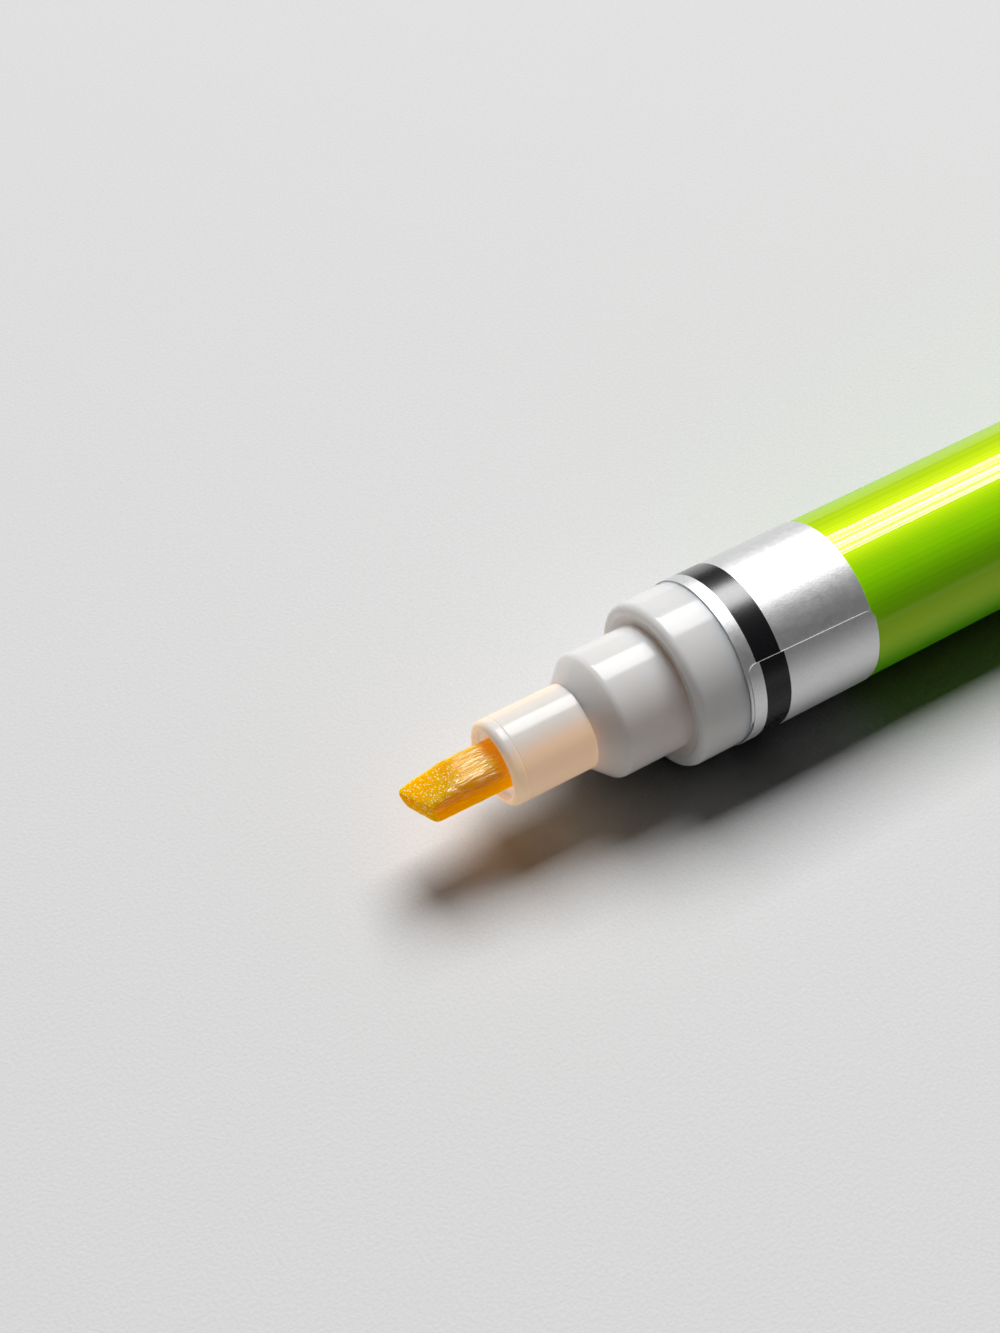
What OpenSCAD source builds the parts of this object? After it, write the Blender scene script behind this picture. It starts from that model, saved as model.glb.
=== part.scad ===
// Valve-action liquid marker lying on its side, uncapped.
// The axis runs along X with the nib towards -X and the tail towards +X.
// The origin is on the floor, under the middle of the marker.

/* [Barrel] */
// Outside diameter of the drawn aluminium barrel
barrel_d = 15.82; // [14.6:0.02:20]
// Length of the barrel from its mouth to the tail
barrel_len = 108; // [70:1:160]
// Thickness of the barrel wall
barrel_wall = 0.5; // [0.3:0.05:0.8]
// Thickness of the closed base of the barrel
base_t = 1; // [0.6:0.1:2]
// Radius round the edge of the tail
tail_r = 1.6; // [0.8:0.1:2.4]
// Diameter of the shallow dish pressed into the tail
dish_d = 9; // [6:0.5:10]
// Depth of the dish
dish_depth = 0.6; // [0.2:0.1:1]

/* [Band label] */
// Length of the wrapped foil label
label_len = 13.58; // [8:0.02:30]
// Thickness of the foil
label_t = 0.08; // [0.05:0.01:0.15]
// Layer of adhesive under the foil
label_gap = 0.01; // [0.01:0.01:0.05]
// Width of the strip where the foil overlaps itself
flap_w = 5.5; // [2:0.5:9]
// How far the overlapping end has wandered towards the tail
flap_shift = 0.27; // [0:0.01:0.6]
// Radius of the corners of the overlapping end
flap_corner_r = 0.9; // [0.4:0.1:2]
// Height of the seam round the barrel, in degrees above the near side
seam_angle = 40; // [0:1:80]

/* [Front section] */
// Step from the barrel down to the flange
flange_inset = 0.04; // [0:0.01:0.3]
// Length of the flange from its root to the barrel mouth
flange_len = 4.83; // [3:0.01:9]
// How far the rounded lip of the flange stands in front of its root
lip_rise = 0.5; // [0.2:0.05:0.7]
// Distance from the end of the cap's seat to the front of the lip
lip_gap = 0.1; // [0.05:0.01:0.3]
// Radius of the lip
lip_r = 0.87; // [0.6:0.01:1.2]
// Diameter of the neck that carries a cap
neck_d = 11.85; // [10.5:0.01:13]
// Length of the neck from the cone to the root of the flange
neck_len = 6.42; // [4:0.01:12]
// Length of the cone in front of the neck
cone_len = 2.03; // [1.4:0.01:4]
// Radius between cone and neck
shoulder_r = 0.9; // [0.3:0.05:1.5]
// Length of the spigot that plugs into the barrel
spigot_len = 12; // [9:0.5:20]
// Thickness of the spigot wall
spigot_wall = 1.7; // [1.2:0.05:2.2]
// Space between the spigot and the barrel
spigot_gap = 0.12; // [0.05:0.01:0.2]
// Number of sealing ribs on the spigot
rib_count = 3; // [2:1:4]
// Width of a sealing rib
rib_w = 0.8; // [0.5:0.1:1.2]
// Lead-in at the end of the spigot
spigot_lead = 0.6; // [0.3:0.1:1]

/* [Nib collar] */
// Diameter of the collar that shows
collar_d = 8; // [7.4:0.01:9.4]
// Length of the collar that shows
collar_out = 8.14; // [5:0.01:14]
// Wall at the mouth of the collar
mouth_wall = 0.72; // [0.7:0.02:0.9]
// Depth of the open mouth round the nib
mouth_depth = 0.7; // [0.5:0.1:2.5]
// Radius round the front edge
rim_r = 0.64; // [0.2:0.02:0.66]
// Distance of the fine groove behind the front edge
groove_at = 1.17; // [0.8:0.01:2]
// Width of the fine groove
groove_w = 0.14; // [0.08:0.01:0.3]
// Depth of the fine groove
groove_depth = 0.07; // [0.03:0.01:0.2]
// Step from the collar down to its shank in the neck
shank_step = 0.4; // [0.3:0.02:0.6]

/* [Nib] */
// Width of the fibre rod
nib_w = 4.65; // [3.6:0.05:4.8]
// Thickness of the fibre rod
nib_t = 3.3; // [2.9:0.05:3.4]
// Radius of the rod's long edges
nib_edge_r = 1.2; // [0.6:0.05:1.4]
// Turn of the rod about the axis, in degrees
nib_roll = 12; // [0:1:90]
// Length of the nib in front of the collar
nib_out = 8.36; // [5:0.01:11]
// Length of the bevel on top of the tip
bevel_len = 3.99; // [2:0.01:4.5]
// Slope of the bevel, in degrees
bevel_slope = 14; // [8:0.5:18]
// Sideways lean of the bevel, in degrees
bevel_lean = 4; // [0:0.5:5]
// Slant of the blunt end in plan, in degrees
end_slant = 16.5; // [0:0.5:25]
// Undercut of the blunt end, in degrees
end_under = 15.5; // [0:0.5:25]
// Radius of the blunt end's far corner
tip_r = 0.6; // [0.3:0.05:1]
// Extra radius that lets the far corner meet its faces at a slight edge
tip_ease = 0.03; // [0.01:0.01:0.06]
// Running space between the nib's edges and the bore of the collar
nib_gap = 0.07; // [0.03:0.01:0.1]

/* [Valve] */
// Travel of the nib and the valve
nib_travel = 2; // [1:0.1:3]
// Space left behind the nib at full travel
stop_gap = 0.6; // [0.3:0.05:1.5]
// Thickness of the rubber seal
seal_t = 1.2; // [0.8:0.05:2]
// Space round the seal
seal_gap = 0.1; // [0.05:0.01:0.2]
// Diameter of the stem in front of the valve head
stem_d = 2.2; // [1.6:0.05:2.8]
// Width of the liquid's way between stem and seal
flow_gap = 0.8; // [0.4:0.05:1]
// Thickness of the valve head
head_t = 1.4; // [0.8:0.05:2]
// Space round the valve head
head_gap = 0.6; // [0.3:0.05:1]
// Space between closed head and seal
rest_gap = 0.02; // [0.01:0.01:0.05]
// Width of the liquid's way round the valve case
feed_gap = 1.2; // [0.7:0.05:1.5]
// Wall of the valve case
case_wall = 0.8; // [0.5:0.05:1]
// Thickness of the case's rear wall
case_end_t = 1; // [0.6:0.05:2]
// Width of the snap bead that holds the case
snap_w = 0.8; // [0.5:0.05:1.2]
// Height of the snap bead
snap_rise = 0.14; // [0.08:0.01:0.2]
// Thickness of the case's flange
case_flange_t = 2; // [1.4:0.05:3]
// Number of windows in the case
window_count = 4; // [3:1:6]
// Width of a window
window_w = 1.8; // [1:0.1:2.2]
// Length of a window
window_len = 5; // [3:0.1:7]
// Diameter of the stem's tail pin
tail_pin_d = 2; // [1.4:0.05:2.2]
// Running space round the tail pin
pin_gap = 0.06; // [0.03:0.01:0.1]
// How far the tail pin stands out of the case
tail_pin_out = 0.3; // [0.1:0.05:1]
// Length of the boss that centres the spring
boss_len = 2.5; // [1.5:0.1:4]

/* [Spring] */
// Length of the spring as fitted
spring_len = 10; // [8:0.1:14]
// Diameter of the spring wire
wire_d = 0.5; // [0.3:0.05:0.6]
// Number of turns
spring_turns = 7; // [5:1:8]
// Space between the spring and its seats
seat_gap = 0.05; // [0.02:0.01:0.1]
// Space between the boss and the spring
boss_gap = 0.25; // [0.15:0.01:0.4]

/* [Fits] */
// Space left in press fits
press_gap = 0.02; // [0.01:0.01:0.05]

/* [Hidden] */
$fn = 96;
ARC_STEPS = 8;
SPRING_RINGS = 8;
SPRING_SIDES = 6;

// Radii, from the barrel inwards
barrel_r = barrel_d / 2;
bore_r = barrel_r - barrel_wall;
label_in_r = barrel_r + label_gap;
label_out_r = label_in_r + label_t;
flange_r = barrel_r - flange_inset;
neck_r = neck_d / 2;
collar_r = collar_d / 2;
shank_r = collar_r - shank_step;
mouth_r = collar_r - mouth_wall;
nib_reach = norm([nib_w / 2 - nib_edge_r, nib_t / 2 - nib_edge_r]) + nib_edge_r;
guide_r = nib_reach + nib_gap;
spigot_r = bore_r - spigot_gap;
cup_r = spigot_r - spigot_wall;
case_r = cup_r - feed_gap;
case_bore_r = case_r - case_wall;
head_r = case_bore_r - head_gap;
stem_r = stem_d / 2;
seal_hole_r = stem_r + flow_gap;
tail_pin_r = tail_pin_d / 2;
coil_r = head_r - wire_d / 2;
boss_r = coil_r * cos(180 / SPRING_RINGS) - wire_d / 2 - boss_gap;

// Places along the axis, from the nib to the tail
overall_len = nib_out + collar_out + cone_len + neck_len + flange_len + barrel_len;
tip_x = -overall_len / 2;
rim_x = tip_x + nib_out;
cone_x = rim_x + collar_out;
neck_x = cone_x + cone_len;
root_x = neck_x + neck_len;
seat_x = root_x - lip_rise - lip_gap;
mouth_x = root_x + flange_len;
tail_x = mouth_x + barrel_len;
seal_x = mouth_x;
seal_back_x = seal_x + seal_t;
head_x = seal_back_x + rest_gap;
head_back_x = head_x + head_t;
case_wall_x = head_back_x + spring_len;
case_back_x = case_wall_x + case_end_t;
nib_back_x = seal_x - nib_travel - stop_gap;
spigot_x = mouth_x + spigot_len;
axis_z = label_out_r;

// Points of an arc, from one angle to another
function arc(c, r, a0, a1) = [for (i = [0:ARC_STEPS])
    let (a = a0 + (a1 - a0) * i / ARC_STEPS) [c[0] + r * cos(a), c[1] + r * sin(a)]];

// Puts what is drawn about Z on the marker's axis
module on_axis() {
    translate([0, 0, axis_z]) rotate([0, 90, 0]) children();
}

// A solid turned about the marker's axis from an outline of [radius, place] points
module turned(outline) {
    on_axis() rotate_extrude() polygon(outline);
}

// A straight round bar on the marker's axis
module bar(r, x0, x1) {
    translate([x0, 0, axis_z]) rotate([0, 90, 0]) cylinder(r = r, h = x1 - x0);
}

// Section of the fibre rod, a rectangle with round edges
module rod_section() {
    inner_y = nib_w / 2 - nib_edge_r;
    inner_z = nib_t / 2 - nib_edge_r;
    square([nib_w, 2 * inner_z], center = true);
    square([2 * inner_y, nib_t], center = true);
    for (sy = [-1, 1], sz = [-1, 1]) translate([sy * inner_y, sz * inner_z]) circle(r = nib_edge_r);
}

module nib() {
    // Height of the foremost corner above the middle of the rod
    corner_z = nib_t / 2 - bevel_len * tan(bevel_slope) - nib_w * tan(bevel_lean);
    // Lean of the end's far edge, and the slant of the end seen along that edge
    edge_lean = atan(tan(end_under) / cos(end_slant));
    edge_slant = asin(sin(end_slant) * cos(end_under));
    // Where the round corner leaves the far side, measured from the sharp corner
    reach = tip_r * tan(45 + edge_slant / 2);
    corner_x = corner_z * tan(edge_lean) - (reach - tip_r - tip_ease) / cos(edge_lean);
    end_x = corner_x + nib_w / 2 * tan(end_slant);
    // Side of the blocks that cut the tip, larger than all that stands in front of the collar
    cut = 2 * nib_out;
    color("orange") translate([tip_x, 0, axis_z]) rotate([-nib_roll, 0, 0]) difference() {
        rotate([90, 0, 90]) linear_extrude(nib_back_x - tip_x) rod_section();
        translate([bevel_len, -nib_w / 2, nib_t / 2]) rotate([-bevel_lean, -bevel_slope, 0])
            translate([-cut, -cut / 2, 0]) cube(cut);
        translate([end_x, 0, 0]) rotate([0, -end_under, end_slant])
            translate([-cut, -cut / 2, -cut / 2]) cube(cut);
        translate([corner_x, nib_w / 2, 0]) rotate([0, -edge_lean, 0])
            linear_extrude(cut, center = true) difference() {
                polygon([[reach, tip_r], [-2 * tip_r, tip_r],
                         [reach - 2 * tip_r * cos(edge_slant), -tip_r - 2 * tip_r * sin(edge_slant)],
                         [reach, -tip_r]]);
                translate([reach, -tip_r]) circle(r = tip_r + tip_ease);
            }
    }
}

module nib_collar() {
    floor_x = rim_x + mouth_depth;
    groove_x = rim_x + groove_at;
    color("antiquewhite") turned(concat(
        [[guide_r, floor_x], [mouth_r, floor_x], [mouth_r, rim_x]],
        arc([collar_r - rim_r, rim_x + rim_r], rim_r, 270, 360),
        [[collar_r, groove_x - groove_w / 2], [collar_r - groove_depth, groove_x],
         [collar_r, groove_x + groove_w / 2], [collar_r, cone_x], [shank_r, cone_x],
         [shank_r, seal_x], [guide_r, seal_x]]));
}

// Outline of the front section outside, from the collar's seat to the barrel mouth
function nose_outline() =
    let (cone_a = atan2(neck_r - collar_r, cone_len),
         tangent = shoulder_r * tan(cone_a / 2),
         lip_x = root_x - lip_rise + lip_r)
    concat(
        [[collar_r, cone_x]],
        arc([neck_r - shoulder_r, neck_x + tangent], shoulder_r, cone_a - 90, 0),
        [[neck_r, seat_x]],
        arc([flange_r - lip_r, lip_x], lip_r, 220, 360),
        [[flange_r, mouth_x]]);

module front_section() {
    shank_bore_r = shank_r + press_gap;
    snap_x = seal_back_x + case_flange_t / 2;
    rib_pitch = spigot_len / (rib_count + 1);
    color("whitesmoke") {
        difference() {
            turned(concat(
                [[shank_bore_r, cone_x]], nose_outline(),
                [[spigot_r, mouth_x], [spigot_r, spigot_x - spigot_lead],
                 [spigot_r - spigot_lead, spigot_x], [cup_r, spigot_x],
                 [cup_r, seal_x], [shank_bore_r, seal_x]]));
            turned([[cup_r - 1, snap_x - snap_w / 2], [cup_r, snap_x - snap_w / 2],
                    [cup_r + snap_rise, snap_x - snap_w / 2 + snap_rise],
                    [cup_r + snap_rise, snap_x + snap_w / 2 - snap_rise],
                    [cup_r, snap_x + snap_w / 2], [cup_r - 1, snap_x + snap_w / 2]]);
        }
        for (i = [1:rib_count]) turned([
            [spigot_r - spigot_wall / 2, mouth_x + i * rib_pitch - rib_w / 2],
            [spigot_r, mouth_x + i * rib_pitch - rib_w / 2],
            [bore_r - press_gap, mouth_x + i * rib_pitch],
            [spigot_r, mouth_x + i * rib_pitch + rib_w / 2],
            [spigot_r - spigot_wall / 2, mouth_x + i * rib_pitch + rib_w / 2]]);
    }
}

module valve_seal() {
    color("dimgray") difference() {
        bar(cup_r - seal_gap, seal_x, seal_back_x);
        bar(seal_hole_r, seal_x - 1, seal_back_x + 1);
    }
}

module valve_stem() {
    pin_x = case_back_x + tail_pin_out;
    boss_x = head_back_x + boss_len;
    boss_end_x = boss_x + boss_r - tail_pin_r;
    color("ivory") union() {
        bar(stem_r, nib_back_x, head_x + head_t / 2);
        turned([[0, head_x], [head_r - head_t / 3, head_x], [head_r, head_x + head_t / 3],
                [head_r, head_back_x], [boss_r, head_back_x], [boss_r, boss_x],
                [tail_pin_r, boss_end_x], [0, boss_end_x]]);
        bar(tail_pin_r, head_back_x, pin_x);
    }
}

module valve_case() {
    snap_x = seal_back_x + case_flange_t / 2;
    flange_edge_r = cup_r - press_gap;
    window_x = (seal_back_x + case_flange_t + case_wall_x) / 2;
    color("lightsteelblue") difference() {
        turned([[case_bore_r, seal_back_x], [flange_edge_r, seal_back_x],
                [flange_edge_r, snap_x - snap_w / 2],
                [flange_edge_r + snap_rise, snap_x - snap_w / 2 + snap_rise],
                [flange_edge_r + snap_rise, snap_x + snap_w / 2 - snap_rise],
                [flange_edge_r, snap_x + snap_w / 2],
                [flange_edge_r, seal_back_x + case_flange_t], [case_r, seal_back_x + case_flange_t],
                [case_r, case_back_x], [tail_pin_r + pin_gap, case_back_x],
                [tail_pin_r + pin_gap, case_wall_x], [case_bore_r, case_wall_x]]);
        for (i = [0:window_count - 1]) translate([window_x, 0, axis_z])
            rotate([i * 360 / window_count, 0, 0]) translate([0, 0, case_r])
                cube([window_len, window_w, 2 * case_wall + head_gap], center = true);
    }
}

// Centre line of the spring wire, one point for each ring of the tube
spring_x0 = head_back_x + seat_gap + wire_d / 2;
spring_x1 = case_wall_x - seat_gap - wire_d / 2;
spring_steps = spring_turns * SPRING_RINGS;
function coil_at(i) = let (a = 360 * i / SPRING_RINGS)
    [spring_x0 + (spring_x1 - spring_x0) * i / spring_steps, coil_r * cos(a), coil_r * sin(a) + axis_z];
spring_line = [for (i = [0:spring_steps]) coil_at(i)];
// Points less than half a turn apart are neighbours along the wire
spring_gap = min([for (i = [0:spring_steps], j = [0:spring_steps])
    if (j - i > SPRING_RINGS / 2) norm(spring_line[j] - spring_line[i])]) - wire_d;
echo("valve_spring least gap to itself in mm", spring_gap);

module valve_spring() {
    ring_points = [for (i = [0:spring_steps], k = [0:SPRING_SIDES - 1])
        let (a = 360 * i / SPRING_RINGS, b = 360 * k / SPRING_SIDES,
             out = [0, cos(a), sin(a)], along = [1, 0, 0])
        spring_line[i] + wire_d / 2 * (cos(b) * out + sin(b) * along)];
    last = spring_steps * SPRING_SIDES;
    sides = [for (i = [0:spring_steps - 1], k = [0:SPRING_SIDES - 1])
        let (p = i * SPRING_SIDES + k, q = i * SPRING_SIDES + (k + 1) % SPRING_SIDES)
        each [[p, q, p + SPRING_SIDES], [q, q + SPRING_SIDES, p + SPRING_SIDES]]];
    ends = [for (k = [1:SPRING_SIDES - 2]) each [[0, k + 1, k], [last, last + k, last + k + 1]]];
    color("silver") polyhedron(ring_points, concat(sides, ends));
}

module barrel() {
    dish_r = dish_d / 2;
    floor_x = tail_x - dish_depth - base_t;
    color("yellowgreen") turned(concat(
        [[bore_r, mouth_x], [barrel_r, mouth_x]],
        arc([barrel_r - tail_r, tail_x - tail_r], tail_r, 0, 90),
        [[dish_r, tail_x], [dish_r - dish_depth, tail_x - dish_depth], [0, tail_x - dish_depth],
         [0, floor_x], [bore_r, floor_x]]));
}

// Rounds one corner of the flap: a small square with a quarter circle left out
module flap_corner(x, side) {
    translate([x, 0, axis_z]) rotate([seam_angle, 0, 0]) rotate([90, 0, 0])
        linear_extrude(2 * label_out_r) difference() {
            translate([side > 0 ? -flap_corner_r : 0, -flap_corner_r]) square(flap_corner_r);
            translate([-side * flap_corner_r, -flap_corner_r]) circle(r = flap_corner_r);
        }
}

module band_label() {
    flap_a = flap_w / label_out_r * 180 / PI;
    flap_x = mouth_x + flap_shift;
    color("silver") union() {
        difference() {
            bar(label_out_r, mouth_x, mouth_x + label_len);
            bar(label_in_r, mouth_x - 1, mouth_x + label_len + 1);
        }
        difference() {
            translate([flap_x, 0, axis_z]) rotate([0, 90, 0])
                rotate([0, 0, -90 - seam_angle]) rotate_extrude(angle = flap_a)
                    translate([label_out_r - label_t / 2, 0]) square([1.5 * label_t, label_len]);
            flap_corner(flap_x, -1);
            flap_corner(flap_x + label_len, 1);
        }
    }
}

nib();
nib_collar();
front_section();
valve_seal();
valve_stem();
valve_spring();
valve_case();
barrel();
band_label();
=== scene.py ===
"""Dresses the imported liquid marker: turned mouldings, lacquered barrel, foil band, fibre nib and studio."""

import math

import bmesh
import bpy
from bpy.props import FloatProperty, FloatVectorProperty, IntProperty, PointerProperty
from mathutils import Matrix, Vector, noise


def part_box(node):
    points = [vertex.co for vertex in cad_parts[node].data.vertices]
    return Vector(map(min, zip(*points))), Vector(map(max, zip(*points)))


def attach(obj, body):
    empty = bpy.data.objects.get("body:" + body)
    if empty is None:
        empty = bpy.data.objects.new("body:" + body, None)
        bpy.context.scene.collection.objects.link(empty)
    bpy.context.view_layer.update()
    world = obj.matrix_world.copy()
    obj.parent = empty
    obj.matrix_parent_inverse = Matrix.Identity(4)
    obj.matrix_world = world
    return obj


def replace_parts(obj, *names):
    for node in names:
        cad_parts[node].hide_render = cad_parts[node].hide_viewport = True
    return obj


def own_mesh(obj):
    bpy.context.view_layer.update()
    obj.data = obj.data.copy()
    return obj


bl_info = {
    "name": "Liquid marker",
    "version": (1, 0, 0),
    "blender": (4, 5, 0),
    "location": "View3D > Sidebar > Marker",
    "description": "Models an uncapped valve-action marker with a chisel nib on its packed frame",
    "category": "Object",
}

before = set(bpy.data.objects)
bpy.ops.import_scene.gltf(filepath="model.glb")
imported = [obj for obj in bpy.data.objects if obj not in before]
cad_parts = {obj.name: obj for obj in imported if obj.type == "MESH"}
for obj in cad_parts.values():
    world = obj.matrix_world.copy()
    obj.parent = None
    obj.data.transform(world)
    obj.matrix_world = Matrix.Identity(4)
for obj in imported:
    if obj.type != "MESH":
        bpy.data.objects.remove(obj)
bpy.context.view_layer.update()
MM = 0.001

# Places along the axis and radii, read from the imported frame
NIB_LOW, NIB_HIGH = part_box("nib")
COLLAR_LOW, COLLAR_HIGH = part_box("nib_collar")
FRONT_LOW, FRONT_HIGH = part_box("front_section")
BARREL_LOW, BARREL_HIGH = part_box("barrel")
LABEL_LOW, LABEL_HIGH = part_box("band_label")
SPRING_LOW, SPRING_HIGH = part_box("valve_spring")
TIP_X, RIM_X, CONE_X = NIB_LOW.x, COLLAR_LOW.x, FRONT_LOW.x
MOUTH_X, TAIL_X = BARREL_LOW.x, BARREL_HIGH.x
AXIS_Z = (BARREL_LOW.z + BARREL_HIGH.z) / 2
BARREL_R = (BARREL_HIGH.z - BARREL_LOW.z) / 2
COLLAR_R = (COLLAR_HIGH.z - COLLAR_LOW.z) / 2
FLANGE_R = (FRONT_HIGH.z - FRONT_LOW.z) / 2
LABEL_R = (LABEL_HIGH.z - LABEL_LOW.z) / 2

# How near a cut a point counts as lying on it, and how near each other points are merged
CUT_DIST = 1e-9
MERGE_DIST = 0.001 * MM

# Waves per metre of the noise on the nib: along and across its fibres, in lumps, and where its speckles end
GRAIN_WAVES = Vector((900, 5200, 5200))
LUMP_WAVES = 1300
FRAY_WAVES = 2600


def length(title, about, value):
    """A length property, given in millimetres."""
    return FloatProperty(name=title, description=about, default=value * MM, min=0, unit="LENGTH", precision=6)


def angle(title, about, value):
    """An angle property, given in degrees."""
    return FloatProperty(name=title, description=about, default=math.radians(value), unit="ROTATION")


def number(title, about, value, unit="NONE"):
    """A plain number property."""
    return FloatProperty(name=title, description=about, default=value, unit=unit, precision=3)


def count(title, about, value, low, high):
    """A whole number property."""
    return IntProperty(name=title, description=about, default=value, min=low, max=high)


def colour(title, about, value):
    """A colour property in linear light."""
    return FloatVectorProperty(
        name=title, description=about, default=value, size=3, subtype="COLOR", min=0, max=1)


class MarkerSizes(bpy.types.PropertyGroup):
    """Sizes of the pieces that the scene models."""
    segments: count("Segments", "Facets round a turned piece", 192, 32, 512)
    wall: length("Barrel wall", "Thickness of the drawn barrel", 0.5)
    base: length("Barrel base", "Thickness of the closed tail", 1.0)
    bare_w: length("Bare width", "Width of bare metal at the mouth, under the label", 0.5)
    floor_r: length("Floor radius", "Radius in the corner of the barrel's floor", 0.4)
    bore_ease: length("Bore ease", "Radius of the mouth's inner edge", 0.08)
    edge_ease: length("Edge ease", "Radius of the mouth's outer edge", 0.12)
    tail_r: length("Tail radius", "Radius round the edge of the tail", 1.6)
    dish_r: length("Dish radius", "Radius of the dish in the tail", 4.5)
    dish_depth: length("Dish depth", "Depth of the dish in the tail", 0.6)
    dish_ease: length("Dish ease", "Radius of the dish's edges", 0.35)
    flange_len: length("Flange length", "From the root of the flange to the barrel", 4.83)
    flange_ease: length("Flange ease", "Bevel of the flange's rear edge", 0.1)
    lip_rise: length("Lip rise", "How far the lip stands in front of the flange's root", 0.2)
    lip_gap: length("Lip gap", "From the end of the cap's seat to the root of the flange", 0.05)
    lip_r: length("Lip radius", "Radius of the rounded lip", 0.72)
    lip_turn: angle("Lip turn", "Turn of the lip's round, from its outside to the crease", 125)
    crease_r: length("Crease radius", "Radius where neck and lip meet", 0.03)
    neck_r: length("Neck radius", "Radius of the neck", 5.925)
    neck_len: length("Neck length", "From the cone to the flange's root", 6.42)
    shoulder_r: length("Shoulder radius", "Radius between cone and neck", 0.9)
    cone_ease: length("Cone ease", "Radius of the cone's front edge", 0.05)
    root_lines: count("Root lines", "Fine turned lines at the neck's root", 4, 1, 6)
    line_pitch: length("Line pitch", "Spacing of the fine turned lines", 0.13)
    line_w: length("Line width", "Width of a fine turned line", 0.078)
    line_depth: length("Line depth", "Depth of the fine turned lines", 0.025)
    spigot_r: length("Spigot radius", "Radius of the plug in the barrel", 7.29)
    spigot_lead: length("Spigot lead", "Bevel that leads the plug into the barrel", 0.6)
    spigot_ribs: count("Spigot ribs", "Sealing ribs on the plug", 3, 1, 6)
    spigot_rib_r: length("Spigot rib radius", "Radius of its sealing ribs", 7.39)
    spigot_rib_w: length("Spigot rib width", "Width of a sealing rib", 0.8)
    cup_r: length("Cup radius", "Bore behind the seal", 5.59)
    shank_r: length("Shank radius", "Radius of the collar inside the neck", 3.6)
    shank_fit: length("Shank fit", "Room round the collar inside the neck", 0.02)
    mouth_r: length("Mouth radius", "Radius of the collar's open mouth", 3.28)
    mouth_depth: length("Mouth depth", "Depth of the collar's open mouth", 0.7)
    mouth_corner_r: length("Mouth corner radius", "Radius in the corner of the collar's mouth", 0.25)
    mouth_ease: length("Mouth ease", "Radius of the mouth's front edge", 0.06)
    guide_r: length("Guide radius", "Bore that guides the nib", 2.482)
    guide_ease: length("Guide ease", "Radius where the nib enters its guide", 0.1)
    rim_r: length("Rim radius", "Radius of the collar's front edge", 0.64)
    groove_at: length("Groove place", "Fine groove behind the collar's front edge", 1.17)
    groove_w: length("Groove width", "Width of the fine groove", 0.18)
    groove_depth: length("Groove depth", "Depth of the fine groove", 0.045)
    groove_ease: length("Groove ease", "Radius of the fine groove's edges", 0.03)
    label_len: length("Label length", "Length of the foil label", 13.58)
    label_t: length("Foil thickness", "Thickness of the foil", 0.08)
    flap_w: length("Overlap width", "Width of the strip where the foil overlaps", 5.5)
    flap_ramp: length("Overlap ramp", "Distance in which the foil settles below the overlap", 4.0)
    flap_shift: length("Overlap shift", "How far the overlapping end has wandered", 0.27)
    flap_corner: length("Overlap corner", "Radius of the overlapping end's corners", 0.9)
    flap_lift: length("Overlap lift", "How far the overlapping edge stands off", 0.006)
    flap_fade: length("Overlap fade", "Distance in which the lift dies out", 0.4)
    seam_skew: angle("Seam skew", "How far the overlapping end is cut out of square", 1.4)
    seam_angle: angle("Seam angle", "Height of the seam above the near side", 40)
    ring_from: length("Ring start", "Start of the black ring, from the front of the label", 1.30)
    ring_w: length("Ring width", "Width of the black ring", 2.58)
    nib_w: length("Nib width", "Width of the fibre rod", 4.65)
    nib_t: length("Nib thickness", "Thickness of the fibre rod", 3.3)
    nib_edge_r: length("Nib edge radius", "Radius of the rod's long edges", 1.2)
    nib_roll: angle("Nib roll", "Turn of the rod about the axis", 12)
    bevel_len: length("Bevel length", "Length of the bevel on the tip", 3.99)
    bevel_slope: angle("Bevel slope", "Slope of the bevel", 14)
    bevel_lean: angle("Bevel lean", "Sideways lean of the bevel", 4)
    end_slant: angle("End slant", "Slant of the blunt end in plan", 16.5)
    end_under: angle("End undercut", "Undercut of the blunt end", 15.5)
    tip_r: length("Tip radius", "Radius of the blunt end's far corner", 0.63)
    tip_cuts: count("Tip cuts", "Cuts that round the far corner", 6, 1, 24)
    tip_wear: count("Tip wear", "Passes that wear the edges of the cuts", 36, 0, 60)
    fray: length("Fray", "Depth in which the bevel's speckles run out", 0.12)
    fibre_cell: length("Fibre cell", "Spacing of the points that roughen the nib", 0.16)
    fibre_rough: length("Fibre roughness", "How far the fibres stand out of the nib", 0.03)
    wire_r: length("Wire radius", "Radius of the spring wire", 0.25)
    wire_sides: count("Wire sides", "Facets round the spring wire", 16, 6, 32)
    coil_r: length("Coil radius", "Radius of the spring at the middle of its wire", 2.74)
    coil_steps: count("Coil steps", "Facets along a turn of the spring", 40, 12, 96)
    turns: count("Turns", "Turns of the spring", 7, 3, 12)


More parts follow.
